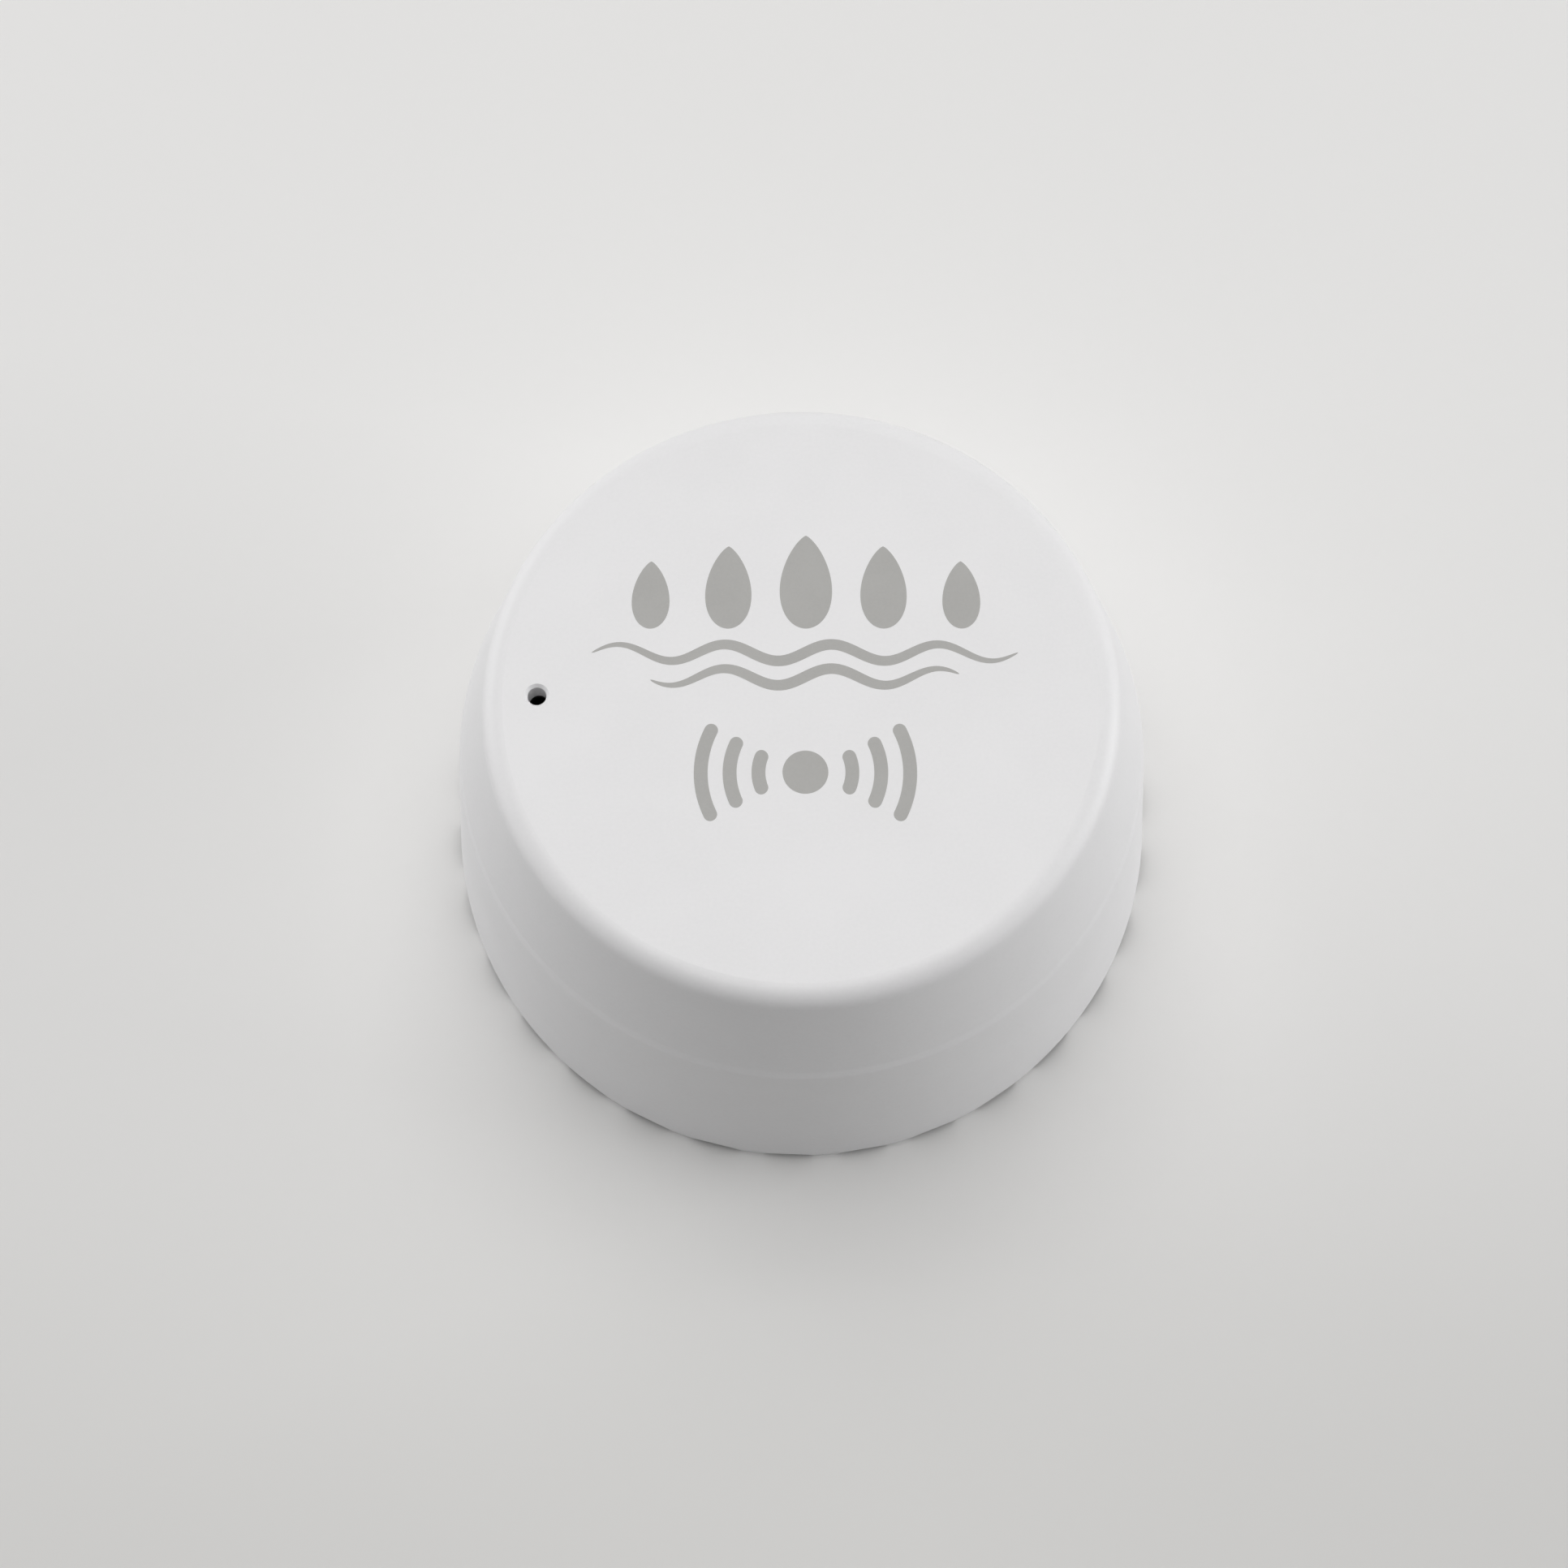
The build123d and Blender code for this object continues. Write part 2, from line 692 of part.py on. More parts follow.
with BuildPart() as battery_deck:
    with BuildSketch(Plane.XY.offset(deck_bottom)):
        Circle(deck_radius)
    extrude(amount=deck_thickness)
    with BuildSketch(Plane.XY.offset(deck_top)):
        with Locations((-rail_x, 0), (rail_x, 0)):
            Rectangle(rail_width, rail_length)
    extrude(amount=rail_height)
    fillet(battery_deck.faces().sort_by(Axis.Z)[-2:].edges().filter_by(Axis.Y), rail_round)
    with BuildSketch(Plane.XY.offset(deck_top)):
        Rectangle(keel_width, rail_length)
    extrude(amount=keel_height)
    with BuildSketch(Plane.XY.offset(deck_top)):
        Circle(deck_radius)
        Rectangle(end_wall_width, 2 * deck_radius, mode=Mode.INTERSECT)
        Rectangle(end_wall_width + overrun, 2 * wall_face, mode=Mode.SUBTRACT)
    extrude(amount=end_wall_height)
    with BuildSketch(Plane.XY.offset(deck_top)):
        with Locations(*post_places):
            Circle(screw_head_radius + screw_passage_gap)
    extrude(amount=-deck_screw_recess, mode=Mode.SUBTRACT)
    with BuildSketch(Plane.XY.offset(deck_top)):
        with Locations(*post_places):
            Circle(screw_radius + screw_passage_gap)
        with Locations((sounder_x, sounder_y)):
            Circle(sounder_radius + tall_part_gap)
        with Locations((light_x, light_y)):
            Circle(spacer_radius + tall_part_gap)
        with Locations((button_x, button_y)):
            Circle(button_radius + button_gap)
        with Locations(*tail_places):
            Rectangle(tail_width + 2 * tail_gap, sheet + 2 * tail_gap)
    extrude(amount=-(deck_thickness + overrun), mode=Mode.SUBTRACT)
battery_deck.part.label = "battery_deck"
export_step(battery_deck.part, "parts/battery_deck.step")

deck_screws = pan_screws(post_places, deck_screw_seat)
deck_screws.label = "deck_screws"
export_step(deck_screws, "parts/deck_screws.step")

# Cells: the left one has its nub at the back, the right one at the front
for side, toward in (("left", -1), ("right", 1)):
    flat_end = Plane(origin=(toward * cell_offset, toward * cell_length / 2, cell_height),
                     x_dir=(1, 0, 0), z_dir=(0, -toward, 0))
    with BuildPart() as cell:
        with BuildSketch(flat_end):
            Circle(cell_radius)
        extrude(amount=cell_length - nub_length)
        fillet(cell.edges().filter_by(GeomType.CIRCLE), cell_edge)
        with BuildSketch(flat_end.offset(cell_length - nub_length)):
            Circle(nub_radius)
        extrude(amount=nub_length)
    cell.part.label = "battery_cell_" + side
    export_step(cell.part, "parts/battery_cell_" + side + ".step")


def contact(leaf_x, boss_x, back, tail_low):
    """Sheet contact against an end wall: a bowed leaf for a flat end, a boss for a nub."""
    places = [x for x in (leaf_x, boss_x) if x is not None]
    middle = sum(places) / len(places)
    width = max(places) - min(places) + contact_width
    face = back * (wall_face - sheet)
    inward = -back
    with BuildPart() as strip:
        with BuildSketch(Plane.XY.offset(deck_top)):
            with Locations((middle, back * (wall_face - sheet / 2))):
                Rectangle(width, sheet)
        extrude(amount=contact_height)
        with BuildSketch(Plane.XY.offset(tail_low)):
            with Locations(*[(x, back * (wall_face - sheet / 2)) for x in places]):
                Rectangle(tail_width, sheet)
        extrude(amount=deck_top - tail_low)
        if boss_x is not None:
            boss_plane = Plane(origin=(boss_x, face, cell_height), x_dir=(1, 0, 0), z_dir=(0, inward, 0))
            with BuildSketch(boss_plane):
                Circle(boss_radius)
            extrude(amount=contact_room - sheet - touch_gap)
        if leaf_x is not None:
            reach = inward * (contact_room - sheet - touch_gap)
            low = cell_height - leaf_length / 2
            high = cell_height + leaf_length / 2
            inner_low = low + 2 * leaf_sheet
            inner_high = high - 2 * leaf_sheet
            inner_crest = face + reach - inward * leaf_sheet
            with BuildSketch(Plane(origin=(leaf_x, 0, 0), x_dir=(0, 1, 0), z_dir=(1, 0, 0))):
                with BuildLine():
                    ThreePointArc((face, low), (face + reach, cell_height), (face, high))
                    Line((face, high), (face, inner_high))
                    ThreePointArc((face, inner_high), (inner_crest, cell_height), (face, inner_low))
                    Line((face, inner_low), (face, low))
                make_face()
            extrude(amount=leaf_width / 2, both=True)
    return strip.part


contacts = {
    "bridge_contact": contact(-cell_offset, cell_offset, -1, deck_bottom),
    "positive_contact": contact(None, -cell_offset, 1, board_top),
    "negative_contact": contact(cell_offset, None, 1, board_top),
}
for name, strip in contacts.items():
    strip.label = name
    export_step(strip, "parts/" + name + ".step")
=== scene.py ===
import bpy
import bmesh
from math import cos, pi, radians, sin, sqrt
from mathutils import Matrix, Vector


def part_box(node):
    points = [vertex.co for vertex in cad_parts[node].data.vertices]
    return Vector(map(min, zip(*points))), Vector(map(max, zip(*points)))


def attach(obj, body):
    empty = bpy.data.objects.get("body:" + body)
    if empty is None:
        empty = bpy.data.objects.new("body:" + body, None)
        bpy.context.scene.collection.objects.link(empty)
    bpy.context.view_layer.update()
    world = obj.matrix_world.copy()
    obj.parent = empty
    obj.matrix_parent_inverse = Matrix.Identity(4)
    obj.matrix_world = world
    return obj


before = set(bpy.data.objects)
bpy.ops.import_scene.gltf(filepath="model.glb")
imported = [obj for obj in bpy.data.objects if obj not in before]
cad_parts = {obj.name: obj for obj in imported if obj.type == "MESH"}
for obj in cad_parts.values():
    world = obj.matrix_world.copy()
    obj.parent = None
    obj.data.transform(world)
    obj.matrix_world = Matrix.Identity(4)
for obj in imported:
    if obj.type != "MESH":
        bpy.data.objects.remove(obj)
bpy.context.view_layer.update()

# Water leak sensor, in metres. The CAD nodes keep their shapes and get their finishes here,
# and the cover gets its printing.
mm = 0.001


# Shader tools


class Value:  # a socket that can be added, multiplied and compared like a number

    def __init__(self, shader, socket):
        self.shader = shader
        self.socket = socket

    def maths(self, operation, *others):
        node = self.shader.tree.nodes.new("ShaderNodeMath")
        node.operation = operation
        for slot, item in enumerate((self, *others)):
            self.shader.feed(node.inputs[slot], item)
        return Value(self.shader, node.outputs[0])

    def __add__(self, other):
        return self.maths("ADD", other)

    def __mul__(self, other):
        return self.maths("MULTIPLY", other)

    def __sub__(self, other):
        return self.maths("SUBTRACT", other)

    def __rsub__(self, other):
        return (self * -1.0) + other

    def __truediv__(self, other):
        return self.maths("DIVIDE", other)

    __radd__ = __add__
    __rmul__ = __mul__

    def above(self, edge, softness):  # 0 below the edge and 1 above it, with a soft step
        return self.shader.add(
            "ShaderNodeMapRange",
            {"interpolation_type": "SMOOTHSTEP"},
            {"Value": self, "From Min": edge - softness, "From Max": edge + softness},
        )


class Shader:  # a material under construction

    def __init__(self, name):
        self.material = bpy.data.materials.new(name)
        self.material.use_nodes = True
        self.tree = self.material.node_tree
        self.surface = self.tree.nodes["Principled BSDF"]

    def feed(self, socket, item):
        if isinstance(item, Value):
            self.tree.links.new(item.socket, socket)
        else:
            socket.default_value = item

    def add(self, kind, settings=None, inputs=None, output=0):
        node = self.tree.nodes.new(kind)
        for name, value in (settings or {}).items():
            setattr(node, name, value)
        for name, item in (inputs or {}).items():
            self.feed(node.inputs[name], item)
        return Value(self, node.outputs[output])

    def place(self, scale=(1, 1, 1)):  # the place on the piece in its own metres, which rides with it
        own = self.add("ShaderNodeTexCoord", output="Object")
        return self.add("ShaderNodeMapping", None, {"Vector": own, "Scale": scale})

    def along(self, axis):  # the distance from the origin along x, y or z
        place = self.place()
        return self.add("ShaderNodeSeparateXYZ", None, {"Vector": place}, output="xyz".index(axis))

    def away(self, x, y):  # the distance from an upright line
        flat = self.place((1, 1, 0))
        return self.add("ShaderNodeVectorMath", {"operation": "DISTANCE"}, {0: flat, 1: (x, y, 0)}, output=1)

    def noise(self, size, detail=2.0, rough=0.5, scale=(1, 1, 1)):
        return self.add(
            "ShaderNodeTexNoise",
            None,
            {"Vector": self.place(scale), "Scale": 1 / size, "Detail": detail, "Roughness": rough},
        )

    def mix(self, factor, first, second):
        return self.add(
            "ShaderNodeMix",
            {"data_type": "RGBA"},
            {0: factor, 6: first, 7: second},
            output=2,
        )

    def bump(self, height, strength, distance, normal=None):
        inputs = {"Height": height, "Strength": strength, "Distance": distance}
        if normal is not None:
            inputs["Normal"] = normal
        return self.add("ShaderNodeBump", None, inputs)

    def set(self, **inputs):
        for name, item in inputs.items():
            words = {
                "baseColor": "Base Color",
                "specular": "Specular IOR Level",
                "transmission": "Transmission Weight",
            }
            self.feed(self.surface.inputs[words.get(name, name[0].upper() + name[1:])], item)
        return self.material


def colour(red, green, blue):
    return (red, green, blue, 1.0)


# Moulded plastic: a fine even grain, faint flow clouds in colour and gloss, dust in the hollows of the grain
def moulded(name, tone, roughness=0.42, grain=0.35 * mm, depth=0.006 * mm, wear=0.015, ledgeAndShade=None):
    s = Shader(name)
    fine = s.noise(grain, 3.0, 0.6)
    cloud = s.noise(22 * grain, 3.0, 0.55)
    broad = s.noise(60 * grain, 1.0)
    darker = tuple(c * (1 - 4 * wear) for c in tone[:3]) + (1.0,)
    under = None
    if ledgeAndShade is not None:  # the ledge's upper side leans back a little more
        height = s.along("z")
        under = s.bump(1 - height.above(ledgeAndShade["ledge"], ledgeAndShade["ledgeHalf"]), 1.0, ledgeAndShade["ledgeDepth"])
        normal = s.add("ShaderNodeTexCoord", output="Normal")
        facing = s.add("ShaderNodeSeparateXYZ", None, {"Vector": normal}, output=2)
        # painted shade: darker on downward faces near the rim
        rimShadeMask = (1 - facing.above(-0.35, 0.2)) * (1 - height.above(ledgeAndShade["rimShadeReach"], 0.5 * mm))
        # painted shade inside the lower end of the hole's tube
        byHole = 1 - s.away(*ledgeAndShade["hole"]).above(ledgeAndShade["tubeRadius"], 0.05 * mm)
        tubeShadeMask = byHole * (1 - height.above(ledgeAndShade["tubeShadeBelow"], 0.1 * mm))
    base = s.mix((cloud - 0.3) * 0.5 + (broad - 0.4) * 0.4 + (fine - 0.5) * 0.9, tone, darker)
    if ledgeAndShade is not None:  # painted shade on the rim's downward faces, and painted shade at the lower end of the hole's tube
        base = s.mix(rimShadeMask * (cloud * 0.3 + 0.65), base, ledgeAndShade["rimShade"])
        base = s.mix(tubeShadeMask, base, ledgeAndShade["tubeShadeTone"])
    return s.set(
        baseColor=base,
        roughness=(fine - 0.5) * 0.1 + (cloud - 0.5) * 0.12 + roughness,
        normal=s.bump(fine, 0.35, depth, under),
    )


# Soft rubber: matt, mottled and slightly lighter where it is handled
def rubber(name, tone, roughness=0.72):
    s = Shader(name)
    fine = s.noise(0.25 * mm, 4.0, 0.65)
    cloud = s.noise(3.5 * mm, 4.0, 0.6)
    lighter = tuple(min(1.0, c * 1.35 + 0.01) for c in tone[:3]) + (1.0,)
    return s.set(
        baseColor=s.mix(cloud.above(0.55, 0.2) * 0.6, tone, lighter),
        roughness=(cloud - 0.5) * 0.2 + roughness,
        specular=0.35,
        normal=s.bump(fine, 0.5, 0.012 * mm),
    )


# Metal with a drawn or turned grain and a little stain
def metal(name, tone, roughness=0.3, grain=(1, 1, 14), size=0.5 * mm, stain=0.2):
    s = Shader(name)
    lines = s.noise(size, 3.0, 0.6, grain)
    cloud = s.noise(2.8 * mm, 4.0, 0.6)
    dull = tuple(c * 0.72 for c in tone[:3]) + (1.0,)
    return s.set(
        baseColor=s.mix(cloud.above(0.58, 0.15) * stain + (lines - 0.4) * 0.3, tone, dull),
        metallic=1.0,
        roughness=(lines - 0.5) * 0.25 + (cloud - 0.5) * 0.15 + roughness,
        normal=s.bump(lines, 0.3, 0.006 * mm),
    )


print("shader tools ready")

# Finishes of the CAD nodes

probePlaces = [(-13.0, -8.0), (13.0, -8.0)]  # mm, as in the frame


# Square patches of parallel tracks, some across and some along, and round vias with a hole
def copperTracks(s, pitch, patch):
    lot = s.add(
        "ShaderNodeTexVoronoi",
        {"feature": "F1", "distance": "CHEBYCHEV"},
        {"Vector": s.place((1, 1, 0)), "Scale": 1 / patch, "Randomness": 0.0},
        output="Color",
    )
    which = s.add("ShaderNodeSeparateColor", None, {"Color": lot}, output=0).above(0.5, 0.001)
    bare = s.add("ShaderNodeSeparateColor", None, {"Color": lot}, output=1).above(0.72, 0.001)
    linesAcross = (s.along("x") / pitch).maths("PINGPONG", 0.5).above(0.3, 0.03)
    linesAlong = (s.along("y") / pitch).maths("PINGPONG", 0.5).above(0.3, 0.03)
    lines = (linesAcross * which + linesAlong * (1 - which)) * (1 - bare)
    spot = s.add(
        "ShaderNodeTexVoronoi",
        {"feature": "F1"},
        {"Vector": s.place((1, 1, 0)), "Scale": 1 / (0.9 * patch), "Randomness": 0.8},
    )
    vias = 1 - spot.above(0.11, 0.015)
    return lines.maths("MAXIMUM", vias), 1 - spot.above(0.05, 0.01)


# Glossy solder mask with copper tracks under it, and gold rings round the fixings
def solderMask(name, tone, trace, padPlaces=(), padRadius=2.6, pitch=0.62 * mm, patch=3.6 * mm):
    s = Shader(name)
    fine = s.noise(0.3 * mm, 2.0)
    tracks, holes = copperTracks(s, pitch, patch)
    base = s.mix(holes, s.mix(tracks * 0.75, tone, trace), colour(0.004, 0.01, 0.006))
    ringMask = None
    for x, y in padPlaces:
        ring = 1 - s.away(x * mm, y * mm).above(padRadius * mm, 0.05 * mm)
        ringMask = ring if ringMask is None else ringMask + ring
    roughness = (fine - 0.5) * 0.1 + 0.28
    metallic = 0.0
    if ringMask is not None:
        base = s.mix(ringMask, base, colour(0.72, 0.52, 0.24))
        metallic = ringMask * 0.9
    return s.set(
        baseColor=base,
        metallic=metallic,
        roughness=roughness,
        normal=s.bump(tracks, 0.5, 0.03 * mm),
    )


# Printed sleeve with plain bands, and the bare steel of the can at both ends
def cellSleeve(name, towardBack):
    s = Shader(name)
    along = s.along("y") * (1.0 if towardBack else -1.0)
    fine = s.noise(0.3 * mm, 3.0)
    scuff = s.noise(1.6 * mm, 5.0, 0.65, (1, 0.25, 1))
    body = s.mix(scuff.above(0.66, 0.06) * 0.5, colour(0.045, 0.16, 0.23), colour(0.16, 0.27, 0.33))
    band = along.above(11.0 * mm, 0.02 * mm)
    line = along.above(10.0 * mm, 0.02 * mm) - along.above(10.5 * mm, 0.02 * mm)
    tail = 1 - along.above(-17.5 * mm, 0.02 * mm)
    shade = s.mix(band, body, colour(0.55, 0.57, 0.58))
    shade = s.mix(line, shade, colour(0.80, 0.80, 0.78))
    shade = s.mix(tail, shade, colour(0.80, 0.80, 0.78))
    ends = along.above(20.7 * mm, 0.03 * mm) + (1 - along.above(-21.75 * mm, 0.03 * mm))
    shade = s.mix(ends, shade, colour(0.64, 0.64, 0.63))
    return s.set(
        baseColor=shade,
        metallic=ends,
        roughness=(fine - 0.5) * 0.08 + ends * 0.05 + 0.26,
        normal=s.bump(scuff + fine * 0.3, 0.15, 0.02 * mm),
    )


def tintedLens(name):  # tinted clear epoxy of the status light
    s = Shader(name)
    cloud = s.noise(0.9 * mm, 2.0)
    return s.set(
        baseColor=s.mix(cloud, colour(0.80, 0.10, 0.07), colour(0.92, 0.24, 0.16)),
        roughness=(cloud - 0.5) * 0.06 + 0.12,
        transmission=0.35,
        normal=s.bump(cloud, 0.1, 0.02 * mm),
    )


coverLedgeAndShade = {
    "ledge": 22.6 * mm,  # its height
    "ledgeHalf": 0.5 * mm,  # half the height that its swell takes
    "ledgeDepth": 0.09 * mm,
    "rimShade": colour(0.10, 0.10, 0.095),  # painted shade on the rim's underside
    "rimShadeReach": 1.8 * mm,
    "hole": (-22.216 * mm, -0.15 * mm),
    "tubeRadius": 0.9 * mm,
    "tubeShadeBelow": 32.35 * mm,  # painted shade darkens the hole's tube below this height
    "tubeShadeTone": colour(0.012, 0.010, 0.010),
}
coverWhite = moulded(
    "coverWhite",
    colour(0.83, 0.825, 0.83),
    roughness=0.52,
    grain=0.3 * mm,
    depth=0.012 * mm,
    ledgeAndShade=coverLedgeAndShade,
)
baseWhite = moulded("baseWhite", colour(0.76, 0.76, 0.77), roughness=0.48)
deckWhite = moulded("deckWhite", colour(0.70, 0.705, 0.72), roughness=0.52, depth=0.01 * mm)
buttonGrey = moulded("buttonGrey", colour(0.20, 0.215, 0.235), roughness=0.5)
switchBlack = moulded("switchBlack", colour(0.022, 0.022, 0.025), roughness=0.5)
sounderBlack = moulded("sounderBlack", colour(0.018, 0.018, 0.020), roughness=0.42)
chipBlack = moulded("chipBlack", colour(0.020, 0.020, 0.022), roughness=0.58, grain=0.12 * mm)
capacitorYellow = moulded("capacitorYellow", colour(0.62, 0.36, 0.05), roughness=0.32)
sealRed = rubber("sealRed", colour(0.33, 0.045, 0.03), roughness=0.55)
footRubber = rubber("footRubber", colour(0.028, 0.028, 0.030))
turnedSteel = metal("turnedSteel", colour(0.56, 0.56, 0.57), 0.24, (1, 1, 1), 0.3 * mm, 0.1)
zincSteel = metal("zincSteel", colour(0.48, 0.49, 0.52), 0.34, (1, 1, 1), 0.35 * mm)
springNickel = metal("springNickel", colour(0.60, 0.585, 0.55), 0.26, (6, 1, 1), 0.6 * mm)
tinnedSheet = metal("tinnedSheet", colour(0.57, 0.58, 0.59), 0.3, (1, 5, 1), 0.7 * mm)
standoffPlaces = [(17.0 * cos(radians(a)), 17.0 * sin(radians(a))) for a in (30, 150, 270)]
boardGreen = solderMask(
    "boardGreen", colour(0.008, 0.085, 0.032), colour(0.02, 0.14, 0.055), standoffPlaces + probePlaces, 3.0
)
moduleBlue = solderMask(
    "moduleBlue", colour(0.008, 0.016, 0.09), colour(0.02, 0.04, 0.16), pitch=0.4 * mm, patch=2.3 * mm
)

nodeFinish = {
    "top_cover": coverWhite,
    "base_cup": baseWhite,
    "battery_deck": deckWhite,
    "seal_ring": sealRed,
    "probe_seals": sealRed,
    "foot_pads": footRubber,
    "probe_screw_left": turnedSteel,
    "probe_screw_right": turnedSteel,
    "probe_nuts": zincSteel,
    "board_screws": zincSteel,
    "deck_screws": zincSteel,
    "main_board": boardGreen,
    "radio_module": moduleBlue,
    "radio_shield": tinnedSheet,
    "controller_chip": chipBlack,
    "regulator": chipBlack,
    "capacitor": capacitorYellow,
    "sounder": sounderBlack,
    "light_spacer": switchBlack,
    "status_light": tintedLens("lightRed"),
    "switch_body": switchBlack,
    "switch_plunger": buttonGrey,
    "pairing_button": buttonGrey,
    "battery_cell_left": cellSleeve("sleeveLeft", True),
    "battery_cell_right": cellSleeve("sleeveRight", False),
    "bridge_contact": springNickel,
    "positive_contact": springNickel,
    "negative_contact": springNickel,
}
for name, material in nodeFinish.items():
    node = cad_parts[name]
    node.data.materials.clear()
    node.data.materials.append(material)
print("finishes on", len(nodeFinish), "CAD nodes")

# Printing on the cover: drops over ripples at the back, a sounding dot at the front

printing = {
    "thickness": 0.01,  # mm, ink above the top
    "dropPitch": 6.6,
    "dropHeights": (6.2, 7.6, 8.6, 7.6, 6.2),
    "dropFoot": (0.4, 5.9),  # middle of the row's foot
    "rippleCount": 2,
    "rippleLength": 36.0,
    "rippleShorter": 10.0,  # how much shorter each ripple is than the one above
    "rippleSwing": 0.75,
    "rippleWave": 9.0,
    "rippleWidth": 0.95,
    "rippleFoot": (0.3, 3.7),
    "ripplePitch": 2.2,
    "dot": (0.35, -7.0),
    "dotRadius": 1.9,
    "arcRadii": (3.9, 6.3, 8.7),
    "arcHalfAngle": 29,
    "arcWidth": 1.15,
}
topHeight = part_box("top_cover")[1][2]


# A closed flat strip between two rows of points in mm, standing on the cover's top
def inkStrip(bm, left, right):
    low, high = topHeight - printing["thickness"] * mm, topHeight + printing["thickness"] * mm
    rows = []
    for a, b in zip(left, right):
        rows.append([bm.verts.new((p[0] * mm, p[1] * mm, z)) for z in (low, high) for p in (a, b)])
    for first, second in zip(rows, rows[1:]):
        for i, j in ((0, 1), (1, 3), (3, 2), (2, 0)):
            bm.faces.new((first[i], first[j], second[j], second[i]))
    bm.faces.new([rows[0][i] for i in (0, 2, 3, 1)])
    bm.faces.new([rows[-1][i] for i in (0, 1, 3, 2)])


def inkPiece(name, strips, material):
    bm = bmesh.new()
    for left, right in strips:
        inkStrip(bm, left, right)
    bmesh.ops.recalc_face_normals(bm, faces=bm.faces)
    mesh = bpy.data.meshes.new(name)
    bm.to_mesh(mesh)
    bm.free()
    mesh.materials.append(material)
    piece = bpy.data.objects.new(name, mesh)
    bpy.context.scene.collection.objects.link(piece)
    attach(piece, "cover")
    return piece


def dropStrip(x, foot, height, steps=48):  # a drop: round below, drawn to a point above
    radius = height * 0.33
    left, right = [], []
    for i in range(steps + 1):
        turn = pi * i / steps
        level = foot + height * (1 - cos(turn)) / 2
        share = (level - foot) / height
        half = radius * 1.82 * sqrt(max(share, 0)) * max(1 - share, 0) ** 0.75
        half = max(half, 0.004)
        left.append((x - half, level))
        right.append((x + half, level))
    return left, right


def rippleStrip(x, y, length, steps=240):  # a wavy line that thins out at both ends
    left, right = [], []
    for i in range(steps + 1):
        share = i / steps
        along = (share - 0.5) * length
        turn = 2 * pi * along / printing["rippleWave"]
        slope = printing["rippleSwing"] * cos(turn) * 2 * pi / printing["rippleWave"]
        half = printing["rippleWidth"] / 2 * sin(pi * share) ** 0.5 + 0.01
        across = half / sqrt(1 + slope * slope)
        level = y + printing["rippleSwing"] * sin(turn)
        left.append((x + along - slope * across, level + across))
        right.append((x + along + slope * across, level - across))
    return left, right


def arcStrip(centre, radius, middle, halfAngle, width, steps=64):  # an arc with round ends
    left, right = [], []
    base = radians(middle)
    span = radians(halfAngle)
    for i in range(steps + 1):
        turn = -span * cos(pi * i / steps)
        edge = (span - abs(turn)) * radius
        half = sqrt(max(width ** 2 / 4 - max(width / 2 - edge, 0) ** 2, 1e-5))
        for row, r in ((left, radius + half), (right, radius - half)):
            row.append((centre[0] + r * cos(base + turn), centre[1] + r * sin(base + turn)))
    return left, right


def discStrip(centre, radius, steps=48):
    left, right = [], []
    for i in range(steps + 1):
        turn = pi * i / steps
        half = max(radius * sin(turn), 0.004)
        left.append((centre[0] - half, centre[1] - radius * cos(turn)))
        right.append((centre[0] + half, centre[1] - radius * cos(turn)))
    return left, right


ink = moulded("printGrey", colour(0.395, 0.39, 0.375), roughness=0.5, grain=0.2 * mm, wear=0.03)
drops = []
for i, height in enumerate(printing["dropHeights"]):
    x = printing["dropFoot"][0] + (i - (len(printing["dropHeights"]) - 1) / 2) * printing["dropPitch"]
    drops.append(dropStrip(x, printing["dropFoot"][1], height))
inkPiece("printedDrops", drops, ink)
ripples = []
for i in range(printing["rippleCount"]):
    x, y = printing["rippleFoot"]
    length = printing["rippleLength"] - printing["rippleShorter"] * i
    ripples.append(rippleStrip(x, y - i * printing["ripplePitch"], length))
inkPiece("printedRipples", ripples, ink)
arcs = [
    arcStrip(printing["dot"], radius, middle, printing["arcHalfAngle"], printing["arcWidth"])
    for radius in printing["arcRadii"]
    for middle in (0, 180)
]
inkPiece("printedSoundArcs", arcs, ink)
inkPiece("printedSoundDot", [discStrip(printing["dot"], printing["dotRadius"])], ink)
print("printing done")

# Floor

room = {"tint": (0.955, 0.97, 1.0), "light": 0.114, "seen": 0.80}  # seen: by the camera and in gloss
table = {
    "size": 3.0,
    "far": colour(0.82, 0.815, 0.805),
    "nearShade": colour(0.69, 0.685, 0.67),  # towards the viewer, darker as painted shade: a falloff of the light
    "cloud": 90 * mm,
    "speck": 1.2 * mm,
    "turn": -42 * mm,  # where the painted falloff is half way between near and far
    "turnHalf": 34 * mm,
    "fade": 450 * mm,  # where it has half turned into the room's tone
    "fadeHalf": 300 * mm,
}
bm = bmesh.new()
bmesh.ops.create_grid(bm, x_segments=4, y_segments=4, size=table["size"])
mesh = bpy.data.meshes.new("paleFloor")
bm.to_mesh(mesh)
bm.free()
floor = bpy.data.objects.new("paleFloor", mesh)
bpy.context.scene.collection.objects.link(floor)
s = Shader("paleTable")
cloud = s.noise(table["cloud"], 3.0)
speck = s.noise(table["speck"], 4.0, 0.7)
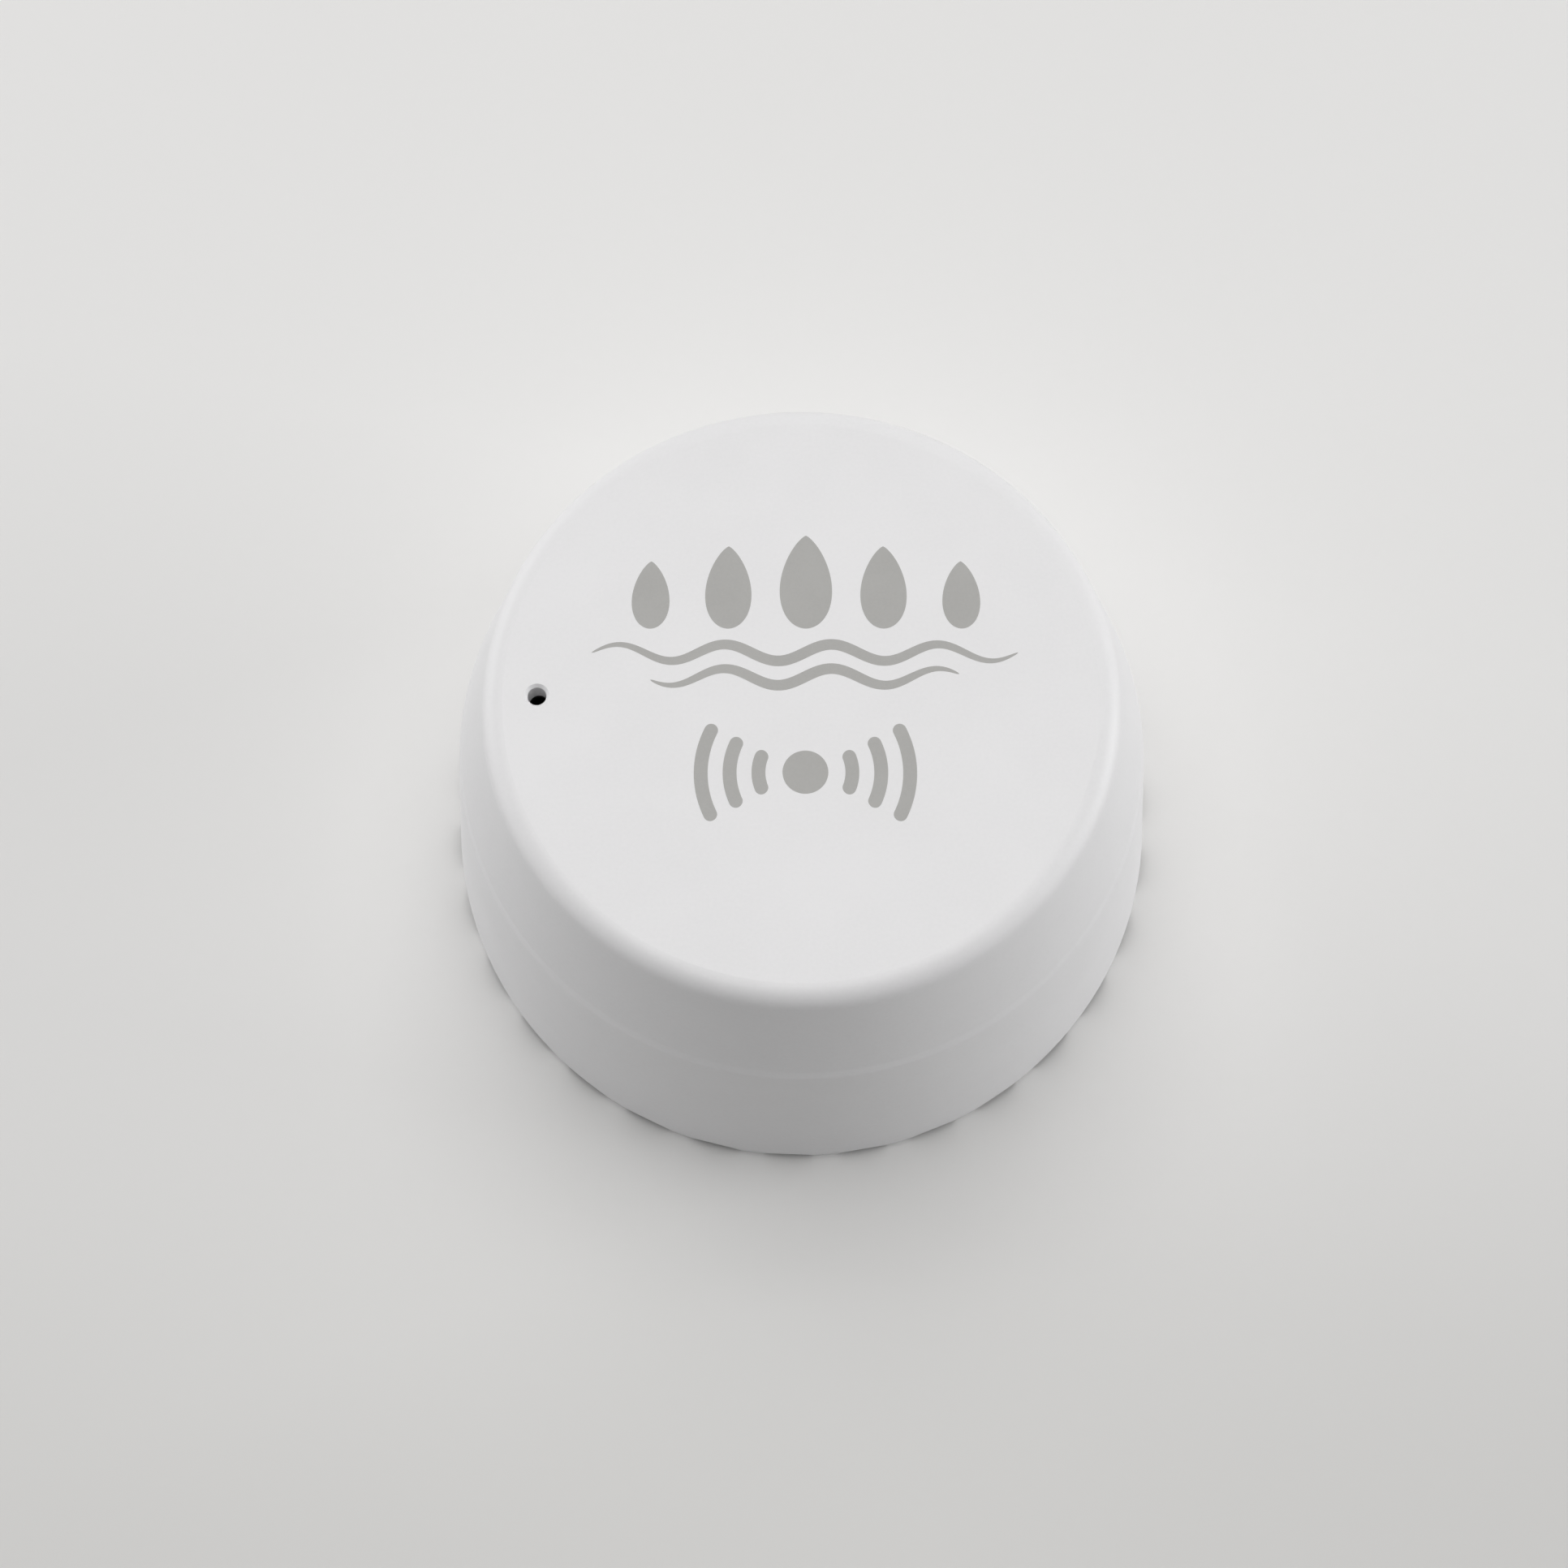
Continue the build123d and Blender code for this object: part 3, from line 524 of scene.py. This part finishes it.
# painted shade: the floor's colour darkens towards the viewer as a falloff of the light
falloffShare = s.along("y").above(table["turn"], table["turnHalf"])
patches = 1 - cloud.above(0.5, 0.25) * 0.05 - speck.above(0.62, 0.1) * 0.02
s.set(
    baseColor=s.mix(falloffShare * patches, table["nearShade"], table["far"]),
    roughness=(speck - 0.5) * 0.1 + 0.55,
    specular=0.3,
    normal=s.bump(speck, 0.1, 0.02 * mm),
)
inGloss = s.add("ShaderNodeLightPath", output="Is Glossy Ray")
seen = s.add("ShaderNodeLightPath", output="Is Camera Ray").maths("MAXIMUM", inGloss)
fromMiddle = s.add("ShaderNodeVectorMath", {"operation": "LENGTH"}, {0: s.place()}, output="Value")
glow = s.add("ShaderNodeEmission", None, {"Color": colour(*room["tint"]), "Strength": room["seen"]})
lit = Value(s, s.surface.outputs[0])
share = fromMiddle.above(table["fade"], table["fadeHalf"]) * seen
blend = s.add("ShaderNodeMixShader", None, {0: share, 1: lit, 2: glow})
s.tree.links.new(blend.socket, s.tree.nodes["Material Output"].inputs["Surface"])
mesh.materials.append(s.material)
print("floor done")

# Light

lights = {
    "over": {"place": (0.0, 0.10, 1.0), "size": (0.9, 0.9), "power": 5.7, "tint": (1.0, 0.992, 0.985)},
    "back": {"place": (0.0, 0.75, 1.0), "size": (0.8, 0.6), "power": 2.5, "tint": (1.0, 0.992, 0.98)},
    "right": {"place": (0.85, 0.05, 0.22), "size": (0.5, 0.3), "power": 3.01, "tint": (0.99, 0.995, 1.0)},
    "left": {"place": (-0.85, 0.05, 0.22), "size": (0.5, 0.3), "power": 0.95, "tint": (0.99, 0.995, 1.0)},
    "leftBack": {"place": (-0.65, 0.45, 0.25), "size": (0.5, 0.3), "power": 1.47, "tint": (0.99, 0.995, 1.0)},
}
for name, made in lights.items():
    lamp = bpy.data.lights.new(name, "AREA")
    lamp.shape = "RECTANGLE"
    lamp.size, lamp.size_y = made["size"]
    lamp.energy = made["power"]
    lamp.color = made["tint"]
    holder = bpy.data.objects.new(name, lamp)
    holder.location = made["place"]
    holder.rotation_mode = "QUATERNION"
    holder.rotation_quaternion = Vector(made["place"]).to_track_quat("Z", "Y")
    bpy.context.scene.collection.objects.link(holder)
world = bpy.data.worlds.new("softRoom")
world.use_nodes = True
tree = world.node_tree
rays = tree.nodes.new("ShaderNodeLightPath")
eitherRay = tree.nodes.new("ShaderNodeMath")
eitherRay.operation = "MAXIMUM"
tree.links.new(rays.outputs["Is Camera Ray"], eitherRay.inputs[0])
tree.links.new(rays.outputs["Is Glossy Ray"], eitherRay.inputs[1])
strength = tree.nodes.new("ShaderNodeMapRange")
strength.inputs["To Min"].default_value = room["light"]
strength.inputs["To Max"].default_value = room["seen"]
tree.links.new(eitherRay.outputs[0], strength.inputs["Value"])
tree.nodes["Background"].inputs["Color"].default_value = colour(*room["tint"])
tree.links.new(strength.outputs[0], tree.nodes["Background"].inputs["Strength"])
bpy.context.scene.world = world
print("light done")

# Camera, fitted to the rim, the ledge and the top in the photograph

view = {
    "imageWidth": 1932,
    "focalPixels": 3250.0,
    "elevation": 71.6,
    "distance": 0.254,
    "originPixel": (987.2, 1014.4),
}
lens = bpy.data.cameras.new("photoCamera")
lens.sensor_fit = "HORIZONTAL"
lens.lens = view["focalPixels"] / view["imageWidth"] * lens.sensor_width
lens.clip_start = 0.01
tilt = radians(view["elevation"])
eye = Vector((0, -view["distance"] * cos(tilt), view["distance"] * sin(tilt)))
middle = view["imageWidth"] / 2
right = (view["originPixel"][0] - middle) / view["focalPixels"]
down = (view["originPixel"][1] - middle) / view["focalPixels"]
straight = (-eye).to_track_quat("-Z", "Y")
lean = Vector((0, 0, -1)).rotation_difference(Vector((right, -down, -1)))
camera = bpy.data.objects.new("photoCamera", lens)
camera.rotation_mode = "QUATERNION"
camera.rotation_quaternion = straight @ lean.inverted()
camera.location = eye
bpy.context.scene.collection.objects.link(camera)
bpy.context.scene.camera = camera
bpy.context.scene.view_settings.view_transform = "Standard"
print("camera done")
